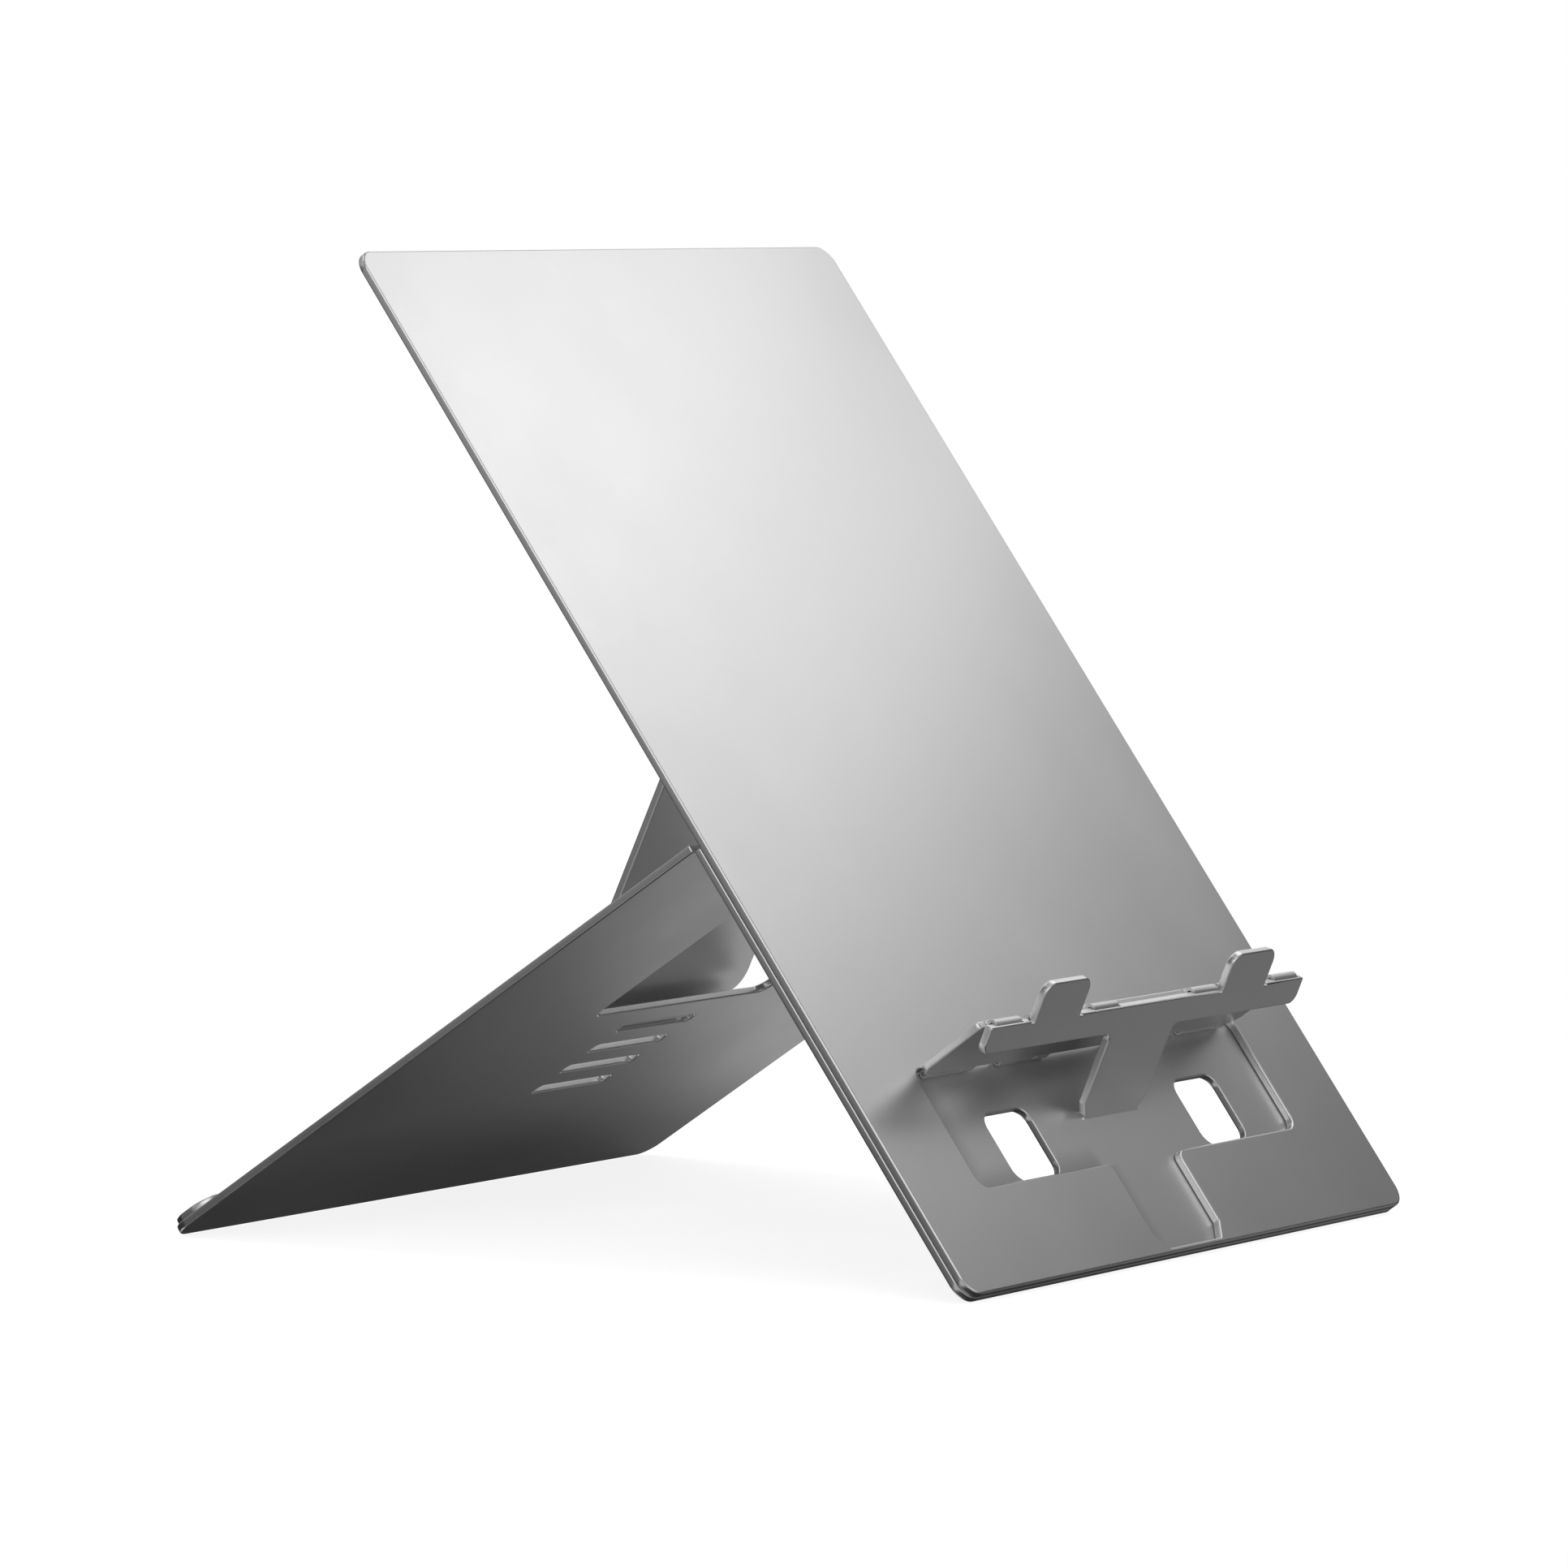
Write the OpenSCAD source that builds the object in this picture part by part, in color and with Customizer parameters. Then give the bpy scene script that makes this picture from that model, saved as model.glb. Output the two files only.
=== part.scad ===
// Folding tablet stand: a sheet-metal front panel, a propped rear leg and a fold-out ledge.
// Millimetres. +Z is up, -Y is the front, X runs across. The origin is on the table,
// in the middle of the stand's footprint.

/* [Front panel] */
// width of the stand across the front
panel_w = 160; // [150:1:175]
// length of the front panel along its slope
panel_l = 225; // [220:1:226]
// thickness of every sheet
sheet_t = 1.5; // [1.4:0.05:1.5]
// radius of the outer corners
corner_r = 4; // [2:0.5:6]
// thickness of the adhesive film between bonded sheets
film_t = 0.1; // [0.1:0.01:0.12]

/* [Opening for the ledge] */
// half width of the wide part of the T opening
open_half_w = 57.5; // [57.4:0.1:60]
// lower edge of the wide part, measured up the panel
open_low = 19.8; // [16:0.1:20.5]
// upper edge of the wide part, measured up the panel
open_high = 44.95; // [44.9:0.05:46]
// half width of the narrow stem of the T opening
open_stem_half_w = 12; // [11.7:0.1:14]
// width of each finger window in the back panel
window_w = 15.6; // [12:0.1:16]

/* [Ledge and stop] */
// half width of the ledge and of the stop's bar
ledge_half_w = 57; // [56:0.1:57.1]
// distance from the ledge's root hinge axis to its front edge
ledge_reach = 16.8; // [16.7:0.05:16.85]
// height of the stop's bar
bar_h = 5.45; // [5:0.05:5.8]
// height of the stop's fingers above the bar
finger_h = 7.4; // [5:0.1:7.5]
// half width of the stop's stem
stem_half_w = 11.4; // [9:0.1:11.5]
// angle of the stop folded back under the ledge, in degrees
stop_angle = 31.34; // [31.2:0.01:31.5]

/* [Leg and strut] */
// position of the leg hinge, measured up the panel
leg_pivot = 96.2; // [96.2:0.1:98]
// length of the leg from its hinge axis to its foot
leg_l = 140.35; // [140:0.05:142]
// angle through which the leg opens from folded flat, in degrees
leg_open = 87.7; // [87.6:0.05:87.8]
// half width of the cut-out in the leg
cutout_half_w = 29.3; // [29.2:0.1:31]
// position of the strut hinge, measured up the panel
strut_pivot = 142; // [141.9:0.05:142.1]
// length of the strut from its hinge axis to the tip of its tab
strut_l = 86.56; // [86.4:0.02:86.6]
// half width of the strut
strut_half_w = 28.8; // [26:0.1:28.9]
// angle through which the strut opens from folded flat, in degrees
strut_open = 60.66; // [60.6:0.02:60.7]

/* [Hinges] */
// radius of the barrels on the stop's hinge
stop_barrel_r = 1.1; // [0.9:0.05:1.1]
// radius of the pins in the thin hinges
pin_r = 0.35; // [0.3:0.01:0.38]
// radial clearance between a pin and its barrels
pin_gap = 0.05; // [0.03:0.01:0.06]

/* [Hidden] */
$fn = 64;
t = sheet_t;
g = film_t;
n2 = -t - g;                 // inner face of the second layer
nm = -t - g - t / 2;         // middle of the second layer
nb = -2 * t - g;             // outer face of the second layer
br = t / 2;                  // barrels of the thin hinges are flush with the sheet
back_l = leg_pivot - 0.9;    // length of the back panel
root_p = 43.95;              // ledge root axis, up the panel
root_n = -t / 2;             // and in the middle of the front panel's sheet
ax_y = 17.6;                 // stop axis from the root axis, along the ledge
ax_z = t / 2 + 0.1;          // stop axis below the middle of the ledge
tip_y = 22.66;               // end of the stop's stem from the stop axis
recess_low = 53;             // lower end of the strut's recess in the back panel
win_low = 20.2;
win_high = 34.5;
win_x = 34.2;                // middle of each finger window
slot_x = 1.1;                // the cross slots sit a little off centre
slot_w = 24.6;
slot_h = 2.8;
slot_pitch = 7.75;
slot_first = 73.35;
strip_l = 10.1;              // width of the foot strip
foot_half = panel_w / 2 - 1.5;

// the slope follows from the leg's end and the panel's lower edge standing on one table
function leg_p(u, v) = leg_pivot + u * cos(leg_open) + v * sin(leg_open);
function leg_n(u, v) = nm - u * sin(leg_open) + v * cos(leg_open);
tilt = atan2(nb - leg_n(leg_l, -t / 2), leg_p(leg_l, -t / 2));
function wy(p, n) = p * cos(tilt) - n * sin(tilt);
function wz(p, n) = p * sin(tilt) + n * cos(tilt);
depth = wy(leg_p(leg_l, t / 2 + g + t), leg_n(leg_l, t / 2 + g + t));
y0 = -depth / 2;
z0 = -wz(0, nb);

alu = [0.72, 0.73, 0.75];
alu2 = [0.66, 0.67, 0.69];
steel = [0.55, 0.55, 0.57];
glue = [0.85, 0.83, 0.76];

// from the panel's frame (across, up the panel, out of its face) to the table's frame
module stand() translate([0, y0, z0]) rotate([tilt, 0, 0]) children();
// frames of the moving pieces: y runs away from the hinge axis
module at_leg() stand() translate([0, leg_pivot, nm]) rotate([-leg_open, 0, 0]) children();
module at_strut() stand() translate([0, strut_pivot, nm]) rotate([180 + strut_open, 0, 0]) children();
module at_ledge() stand() translate([0, root_p, root_n]) rotate([90, 0, 0]) children();
module at_stop() at_ledge() translate([0, ax_y, ax_z]) rotate([180 - stop_angle, 0, 0]) children();

// a rectangle with round corners
module rr(x0, x1, ya, yb, r) {
  translate([x0 + r, ya]) square([x1 - x0 - 2 * r, yb - ya]);
  translate([x0, ya + r]) square([x1 - x0, yb - ya - 2 * r]);
  for (x = [x0 + r, x1 - r], y = [ya + r, yb - r]) translate([x, y]) circle(r = r);
}
// a rectangle with its two far corners round
module rf(x0, x1, ya, yb, r) {
  translate([x0, ya]) square([x1 - x0, yb - ya - r]);
  translate([x0 + r, yb - r - 0.01]) square([x1 - x0 - 2 * r, r + 0.01]);
  for (x = [x0 + r, x1 - r]) translate([x, yb - r]) circle(r = r);
}
module slab(za, zb) translate([0, 0, za]) linear_extrude(zb - za) children();
// a round bar across the stand, on the local x axis
module bar_x(xa, xb, r) translate([xa, 0, 0]) rotate([0, 90, 0]) cylinder(h = xb - xa, r = r, $fn = 48);
// one barrel with the block that joins it to the sheet's edge
module knuckle(xa, xb, far) difference() {
  union() {
    bar_x(xa, xb, br);
    translate([xa, 0, -t / 2]) cube([xb - xa, far, t]);
  }
  bar_x(xa - 1, xb + 1, pin_r + pin_gap);
}

// ---- spans of the barrels across the stand
root_panel = [[-50.5, -42.8], [-23.5, -16.1], [16.1, 23.5], [42.8, 50.5]];
root_ledge = [[-53.8, -50.65], [-42.65, -37.5], [-28.3, -23.65], [-15.95, -11.3],
              [11.3, 15.95], [23.65, 28.3], [37.5, 42.65], [50.65, 53.8]];
root_pins = [[-53.8, -37.5], [-28.3, -11.3], [11.3, 28.3], [37.5, 53.8]];
leg_own = [[-66, -56.2], [-44, -34], [34, 44], [56.2, 66]];
leg_panel_side = [[-56, -44.2], [44.2, 56]];
leg_pin_spans = [[-66, -34], [34, 66]];
strut_own = [[-15.8, -4.2], [4.2, 15.8]];
anchor_own = [[-27, -16], [-4, 4], [16, 27]];
front_own = [[-54.5, -45.6], [-20.2, -11.2], [16.4, 25.2], [46.6, 55.4]];
stop_own = [[-41.7, -26.3], [26.3, 41.7]];
stop_pin_spans = [[-54.5, -11.2], [16.4, 55.4]];

// ---- front panel
module t_opening() {
  rr(-open_half_w, open_half_w, open_low, open_high, 3);
  polygon([[-open_stem_half_w, open_low + 1], [-open_stem_half_w, 4.6], [-9.4, 1.1],
           [9.4, 1.1], [open_stem_half_w, 4.6], [open_stem_half_w, open_low + 1]]);
  for (s = [-1, 1]) scale([s, 1]) difference() {
    translate([open_stem_half_w - 0.01, open_low - 1.9]) square([1.91, 1.92]);
    translate([open_stem_half_w + 1.9, open_low - 1.9]) circle(r = 1.9);
  }
}
module front_panel() color(alu) stand() slab(-t, 0) difference() {
  rr(-panel_w / 2, panel_w / 2, 0, panel_l, corner_r);
  t_opening();
}

// ---- back panel: floor of the recess, and arms either side of the folded strut
module back_outline() difference() {
  rr(-panel_w / 2, panel_w / 2, 0, back_l + corner_r, corner_r);
  translate([-panel_w, back_l]) square([2 * panel_w, 10]);
  // recess for the folded strut
  rr(-cutout_half_w, cutout_half_w, recess_low, back_l + 20, 3);
}
module back_panel() color(alu2) stand() slab(nb, n2) difference() {
  back_outline();
  for (s = [-1, 1]) rr(s * win_x - window_w / 2, s * win_x + window_w / 2, win_low, win_high, 3);
  rr(-10.6, 10.6, 29.88, 32.2, 0.6);
}
module back_panel_bond() color(glue) stand() slab(n2, -t) difference() {
  rr(-panel_w / 2 + 0.6, panel_w / 2 - 0.6, 0.6, back_l - 1, 3.4);
  t_opening();
  translate([-cutout_half_w - 0.5, recess_low - 0.5]) square([2 * cutout_half_w + 1, 60]);
}
module panel_ledge_knuckles() color(alu) stand() translate([0, root_p, root_n])
  for (k = root_panel) knuckle(k[0], k[1], open_high - root_p);
module panel_leg_knuckles() color(alu2) stand() translate([0, leg_pivot, nm])
  for (k = leg_panel_side) rotate([180, 0, 0]) knuckle(k[0], k[1], 0.9);

// ---- strut anchor
module anchor_outline(far) rf(-strut_half_w, strut_half_w, strut_pivot + 1.05, far, 3);
module strut_anchor() color(alu2) stand() slab(nb, n2) anchor_outline(161.5);
module strut_anchor_bond() color(glue) stand() slab(n2, -t)
  rr(-strut_half_w + 0.6, strut_half_w - 0.6, strut_pivot + 2, 160.9, 2.4);
module anchor_knuckles() color(alu2) stand() translate([0, strut_pivot, nm])
  for (k = anchor_own) knuckle(k[0], k[1], 1.05);

// ---- pins
module pins(spans) for (k = spans) bar_x(k[0] + 0.1, k[1] - 0.1, pin_r);
module ledge_pins() color(steel) stand() translate([0, root_p, root_n]) pins(root_pins);
module leg_pins() color(steel) stand() translate([0, leg_pivot, nm]) pins(leg_pin_spans);
module strut_pin() color(steel) stand() translate([0, strut_pivot, nm]) pins([[-27, 27]]);

// ---- leg
module leg_panel() color(alu) at_leg() slab(-t / 2, t / 2) difference() {
  rf(-panel_w / 2, panel_w / 2, 0.9, leg_l, corner_r);
  // cut-out, open at the hinge
  rf(-cutout_half_w, cutout_half_w, -1, 67.45, 2.5);
  for (i = [0 : 3]) rr(slot_x - slot_w / 2, slot_x + slot_w / 2,
                       slot_first + i * slot_pitch, slot_first + i * slot_pitch + slot_h, 1);
}
module leg_knuckles() color(alu) at_leg() for (k = leg_own) knuckle(k[0], k[1], 0.9);
module foot_outline(e) difference() {
  rr(-foot_half + e, foot_half - e, leg_l - strip_l + e, leg_l + 6, 4.6 - e);
  translate([-panel_w, leg_l - e]) square([2 * panel_w, 20]);
  // the strip follows the leg's round corners
  for (s = [-1, 1]) scale([s, 1]) difference() {
    translate([panel_w / 2 - corner_r, leg_l - corner_r]) square(10);
    translate([panel_w / 2 - corner_r, leg_l - corner_r]) circle(r = corner_r - 0.2 - e);
  }
}
module foot_strip() color(alu2) at_leg() slab(t / 2 + g, t / 2 + g + t) foot_outline(0);
module foot_bond() color(glue) at_leg() slab(t / 2, t / 2 + g) foot_outline(0.5);

// ---- strut
module strut_panel() color(alu) at_strut() slab(-t / 2, t / 2) union() {
  rf(-strut_half_w, strut_half_w, 1, 81.5, 5);
  // the lower edge slopes gently to the tab
  difference() {
    translate([-strut_half_w + 6, 78]) square([2 * strut_half_w - 12, 6.2]);
    polygon([[-strut_half_w + 5, 81.5], [-strut_half_w + 5, 85], [-13, 85], [-13, 84.2]]);
    polygon([[strut_half_w - 5, 81.5], [14.5, 84.2], [14.5, 85], [strut_half_w - 5, 85]]);
  }
  rf(slot_x - 11.2, slot_x + 11.2, 83, strut_l, 0.8);
}
module strut_knuckles() color(alu) at_strut() for (k = strut_own) knuckle(k[0], k[1], 1);

// ---- ledge
module ledge_outline() difference() {
  union() {
    translate([-ledge_half_w, 3.95]) square([2 * ledge_half_w, ledge_reach - 3.95 - 0.8]);
    translate([-ledge_half_w + 3, 0.95]) square([2 * ledge_half_w - 6, 3.01]);
    for (s = [-1, 1]) translate([s * (ledge_half_w - 3), 3.95]) circle(r = 3);
    translate([-ledge_half_w + 0.8, ledge_reach - 0.81]) square([2 * ledge_half_w - 1.6, 0.81]);
    for (s = [-1, 1]) translate([s * (ledge_half_w - 0.8), ledge_reach - 0.8]) circle(r = 0.8);
  }
  // notches for the stop's fingers
  for (s = [-1, 1]) rr(s * 34 - 8.5, s * 34 + 8.5, 9.15, ledge_reach + 5, 1.5);
  // seats of the front barrels
  for (k = front_own) translate([k[0] - 0.1, ledge_reach - 0.85]) square([k[1] - k[0] + 0.2, 3]);
}
module ledge_panel() color(alu) at_ledge() slab(-t / 2, t / 2) ledge_outline();
module ledge_root_knuckles() color(alu) at_ledge() for (k = root_ledge) knuckle(k[0], k[1], 0.95);
module ledge_front_knuckles() color(alu2) at_ledge() for (k = front_own) difference() {
  union() {
    translate([0, ax_y, ax_z]) bar_x(k[0], k[1], stop_barrel_r);
    translate([k[0], ledge_reach - 0.85, -t / 2]) cube([k[1] - k[0], 0.85, t]);
  }
  translate([0, ax_y, ax_z]) bar_x(k[0] - 1, k[1] + 1, 0.45 + pin_gap);
}
module stop_pins() color(steel) at_ledge() translate([0, ax_y, ax_z])
  for (k = stop_pin_spans) bar_x(k[0] + 0.1, k[1] - 0.1, 0.45);

// ---- stop
y1 = bar_h - 0.5;            // lower edge of the bar from the stop axis
module stop_outline() union() {
  difference() {
    union() {
      rr(-ledge_half_w, ledge_half_w, -0.5, bar_h - 0.5, 2.2);
      translate([-ledge_half_w, -0.5]) square([2 * ledge_half_w, 2.4]);
      for (s = [-1, 1]) rr(s * 34 - 8, s * 34 + 8, -finger_h - 0.5, 2, 2.8);
    }
    // relief nicks beside the fingers
    for (s = [-1, 1], e = [-1, 1]) translate([s * 34 + e * 8.5, -0.5]) circle(r = 0.5, $fn = 24);
  }
  difference() {
    translate([-stem_half_w, y1 - 1]) square([2 * stem_half_w, tip_y - y1 + 1]);
    for (s = [-1, 1]) scale([s, 1])
      polygon([[stem_half_w + 1, 17.6], [9.65, 22.0], [9.65, 30], [stem_half_w + 1, 30]]);
  }
  for (s = [-1, 1]) scale([s, 1]) difference() {
    translate([stem_half_w - 0.01, y1 - 0.01]) square([1.71, 1.71]);
    translate([stem_half_w + 1.7, y1 + 1.7]) circle(r = 1.7);
  }
}
module stop_panel() color(alu) at_stop() difference() {
  slab(-0.1 - t, -0.1) stop_outline();
  // pockets in its back that take the ledge's barrels, leaving a thin front skin
  for (k = front_own) translate([k[0] - 0.3, -3, -stop_barrel_r - 0.12])
    cube([k[1] - k[0] + 0.6, 3 + stop_barrel_r + 0.25, 3]);
  // grooves that seat its own barrels
  for (s = [-1, 1]) bar_x(s * 34 - 8.2, s * 34 + 8.2, stop_barrel_r + 0.02);
  // groove that clears the pins between the barrels
  for (k = stop_pin_spans) bar_x(k[0] - 0.6, k[1] + 0.6, 0.6);
}
module stop_knuckles() color(alu2) at_stop() for (k = stop_own) difference() {
  bar_x(k[0], k[1], stop_barrel_r);
  bar_x(k[0] - 1, k[1] + 1, 0.45 + pin_gap);
}

front_panel();
back_panel();
back_panel_bond();
panel_ledge_knuckles();
panel_leg_knuckles();
strut_anchor();
strut_anchor_bond();
anchor_knuckles();
ledge_pins();
leg_pins();
strut_pin();
leg_panel();
leg_knuckles();
foot_strip();
foot_bond();
strut_panel();
strut_knuckles();
ledge_panel();
ledge_root_knuckles();
ledge_front_knuckles();
stop_pins();
stop_panel();
stop_knuckles();
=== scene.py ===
import math
import bpy
import bmesh
from mathutils import Matrix, Vector


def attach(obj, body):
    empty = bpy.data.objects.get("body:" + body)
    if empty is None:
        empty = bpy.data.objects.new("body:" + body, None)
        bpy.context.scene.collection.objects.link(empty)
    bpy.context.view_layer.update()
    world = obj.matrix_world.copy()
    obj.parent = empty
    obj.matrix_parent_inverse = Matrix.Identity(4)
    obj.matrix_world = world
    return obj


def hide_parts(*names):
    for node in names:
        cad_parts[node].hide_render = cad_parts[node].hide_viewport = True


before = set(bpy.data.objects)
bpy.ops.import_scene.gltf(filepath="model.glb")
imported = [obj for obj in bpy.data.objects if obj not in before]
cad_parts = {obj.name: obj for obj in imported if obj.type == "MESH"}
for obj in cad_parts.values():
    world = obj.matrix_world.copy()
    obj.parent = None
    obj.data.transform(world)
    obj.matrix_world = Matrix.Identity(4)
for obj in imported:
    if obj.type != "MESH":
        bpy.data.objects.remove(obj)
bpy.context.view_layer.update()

scene = bpy.context.scene
MM = 0.001

# ------------------------------------------------------------------ the design's own frames (mm)
T, G = 1.5, 0.1
PW, PL = 160.0, 225.0
N2, NM, NB = -T - G, -T - G - T / 2, -2 * T - G
LEG_P, LEG_L, LEG_OPEN = 96.2, 140.35, 87.7
STRUT_P, STRUT_L, STRUT_OPEN = 142.0, 86.56, 60.66
ROOT_P, ROOT_N = 43.95, -T / 2
AX_Y, AX_Z = 17.6, T / 2 + 0.1
STOP_ANGLE = 31.34
REACH, BAR_H, FINGER_H, TIP_Y = 16.8, 5.45, 7.4, 22.66
BACK_L = LEG_P - 0.9
SLOT_X, SLOT_W, SLOT_H, SLOT_PITCH, SLOT_FIRST = 1.1, 24.6, 2.8, 7.75, 73.35
BR, SR = T / 2, 1.1
PIN, GAP = 0.35, 0.05

_c, _s = math.cos(math.radians(LEG_OPEN)), math.sin(math.radians(LEG_OPEN))


def leg_pn(u, v):
    return LEG_P + u * _c + v * _s, NM - u * _s + v * _c


_e = leg_pn(LEG_L, -T / 2)
TILT = math.atan2(NB - _e[1], _e[0])
_ct, _st = math.cos(TILT), math.sin(TILT)
_top = leg_pn(LEG_L, T / 2 + G + T)
Y0 = -(_top[0] * _ct - _top[1] * _st) / 2
Z0 = -(NB * _ct)


def tr(x, y, z):
    return Matrix.Translation((x, y, z))


def rx(deg):
    return Matrix.Rotation(math.radians(deg), 4, "X")


STAND = tr(0, Y0, Z0) @ rx(math.degrees(TILT))
AT_LEG = STAND @ tr(0, LEG_P, NM) @ rx(-LEG_OPEN)
AT_STRUT = STAND @ tr(0, STRUT_P, NM) @ rx(180 + STRUT_OPEN)
AT_LEDGE = STAND @ tr(0, ROOT_P, ROOT_N) @ rx(90)
AT_STOP = AT_LEDGE @ tr(0, AX_Y, AX_Z) @ rx(180 - STOP_ANGLE)


# ------------------------------------------------------------------ outlines
def path(points, step=5.0):
    """A closed outline from (x, y, corner radius), corners turned into arcs."""
    out, n = [], len(points)
    for i in range(n):
        x, y, r = points[i]
        p = Vector((x, y))
        a = Vector(points[i - 1][:2]) - p
        b = Vector(points[(i + 1) % n][:2]) - p
        a.normalize()
        b.normalize()
        if r <= 0:
            out.append((x, y))
            continue
        half = math.acos(max(-1, min(1, a.dot(b)))) / 2
        d = r / math.tan(half)
        mid = (a + b).normalized()
        c = p + mid * (r / math.sin(half))
        s, e = p + a * d - c, p + b * d - c
        turn = math.atan2(s.x * e.y - s.y * e.x, s.dot(e))
        k = max(4, int(abs(math.degrees(turn)) / step))
        for j in range(k + 1):
            t = turn * j / k
            out.append((c.x + s.x * math.cos(t) - s.y * math.sin(t), c.y + s.x * math.sin(t) + s.y * math.cos(t)))
    return out


def area(loop):
    return 0.5 * sum(a[0] * b[1] - b[0] * a[1] for a, b in zip(loop, loop[1:] + loop[:1]))


def inward(loop, solid_left):
    """At each point, the step that moves it one unit into the material."""
    if (area(loop) > 0) != solid_left:
        loop = loop[::-1]
    n, res = len(loop), []
    for i in range(n):
        p, q, r = Vector(loop[i - 1]), Vector(loop[i]), Vector(loop[(i + 1) % n])
        a, b = (q - p).normalized(), (r - q).normalized()
        na, nb = Vector((-a.y, a.x)), Vector((-b.y, b.x))
        m = na + nb
        m = m / max(0.35, m.dot(na)) if m.length > 1e-6 else na
        res.append(m)
    return loop, res


def rect(x0, x1, y0, y1, r):
    return [(x0, y0, r), (x1, y0, r), (x1, y1, r), (x0, y1, r)]


def plate(name, body, nodes, outer, holes, za, zb, place, ra=0.3, rb=0.3, seg=4, swap=None, many=None, hole_r=None, cuts=None, crisp=None):
    """A sheet with rounded edges: outer and holes are outlines, za..zb its thickness.
    ra rounds the edges at za, rb those at zb. swap maps (x, y, z) of the plate to the local frame."""
    bm = bmesh.new()
    for k, (out_loop, hole_loops, z0, z1) in enumerate(many or [(outer, holes, za, zb)]):
        rings_low, rings_high = [], []
        for li, loop in enumerate([out_loop] + list(hole_loops)):
            loop, step = inward(loop, li == 0)
            hr = 1.0 if li == 0 or hole_r is None else (hole_r[li - 1] if isinstance(hole_r, (list, tuple)) else hole_r)
            a, b = ra * hr, rb * hr
            prof = []
            for i in range(seg + 1):
                t = math.pi / 2 * i / seg
                prof.append((a * (1 - math.sin(t)), z0 + a * (1 - math.cos(t))))
            for i in range(seg, -1, -1):
                t = math.pi / 2 * i / seg
                prof.append((b * (1 - math.sin(t)), z1 - b * (1 - math.cos(t))))
            rings = []
            for inset, z in prof:
                ring = []
                for p, d in zip(loop, step):
                    k = inset * (0.08 if crisp is not None and p[1] > crisp else 1.0)
                    ring.append(bm.verts.new((p[0] + d.x * k, p[1] + d.y * k, z)))
                rings.append(ring)
            n = len(loop)
            for ri in range(len(rings) - 1):
                for i in range(n):
                    f = bm.faces.new((rings[ri][i], rings[ri][(i + 1) % n], rings[ri + 1][(i + 1) % n], rings[ri + 1][i]))
                    f.smooth = True
                    f.material_index = 1
            rings_low.append(rings[0])
            rings_high.append(rings[-1])
        for group, up in ((rings_low, False), (rings_high, True)):
            edges = []
            for ring in group:
                for i in range(len(ring)):
                    e = bm.edges.get((ring[i], ring[(i + 1) % len(ring)]))
                    edges.append(e)
            made = bmesh.ops.triangle_fill(bm, use_beauty=True, use_dissolve=False, edges=edges,
                                           normal=(0, 0, 1 if up else -1))
            for f in made["geom"]:
                if isinstance(f, bmesh.types.BMFace):
                    f.smooth = False
                    f.material_index = 0
    if swap is not None:
        bm.transform(swap)
    bmesh.ops.recalc_face_normals(bm, faces=bm.faces[:])
    if cuts is not None:
        bm = carve(bm, *cuts)
    return piece(name, body, nodes, bm, place)


def carve(bm, boxes, rods):
    """Pockets (x0, x1, y0, y1, z0, z1) and round grooves along x (xa, xb, r) cut out of a sheet."""
    tool = bmesh.new()
    for x0, x1, y0, y1, z0, z1 in boxes:
        v = [tool.verts.new((x, y, z)) for z in (z0, z1) for x, y in ((x0, y0), (x1, y0), (x1, y1), (x0, y1))]
        for q in ((3, 2, 1, 0), (4, 5, 6, 7), (0, 1, 5, 4), (1, 2, 6, 5), (2, 3, 7, 6), (3, 0, 4, 7)):
            tool.faces.new([v[i] for i in q])
    for xa, xb, r in rods:
        k = 32
        a = [tool.verts.new((xa, r * math.cos(2 * math.pi * i / k), r * math.sin(2 * math.pi * i / k))) for i in range(k)]
        b = [tool.verts.new((xb, r * math.cos(2 * math.pi * i / k), r * math.sin(2 * math.pi * i / k))) for i in range(k)]
        tool.faces.new(a[::-1])
        tool.faces.new(b)
        for i in range(k):
            tool.faces.new((a[i], a[(i + 1) % k], b[(i + 1) % k], b[i]))
    bmesh.ops.recalc_face_normals(tool, faces=tool.faces[:])
    for f in tool.faces:
        f.material_index = 0
    obs = []
    for nm, src in (("cut_stock", bm), ("cut_tool", tool)):
        bmesh.ops.remove_doubles(src, verts=src.verts[:], dist=0.001)
        me = bpy.data.meshes.new(nm)
        src.to_mesh(me)
        src.free()
        me.materials.append(None)
        me.materials.append(None)
        ob = bpy.data.objects.new(nm, me)
        scene.collection.objects.link(ob)
        obs.append(ob)
    md = obs[0].modifiers.new("cut", "BOOLEAN")
    md.operation = "DIFFERENCE"
    md.solver = "EXACT"
    md.use_self = True
    md.object = obs[1]
    bpy.context.view_layer.update()
    made = bpy.data.meshes.new_from_object(obs[0].evaluated_get(bpy.context.evaluated_depsgraph_get()))
    res = bmesh.new()
    res.from_mesh(made)
    for ob in obs:
        me = ob.data
        bpy.data.objects.remove(ob)
        bpy.data.meshes.remove(me)
    bpy.data.meshes.remove(made)
    bmesh.ops.remove_doubles(res, verts=res.verts[:], dist=0.003)
    bmesh.ops.dissolve_degenerate(res, dist=0.003, edges=res.edges[:])
    bmesh.ops.holes_fill(res, edges=[e for e in res.edges if e.is_boundary], sides=6)
    for e in res.edges:
        if len(e.link_faces) == 2 and e.calc_face_angle(0) > math.radians(40):
            e.smooth = False
    return res


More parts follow.
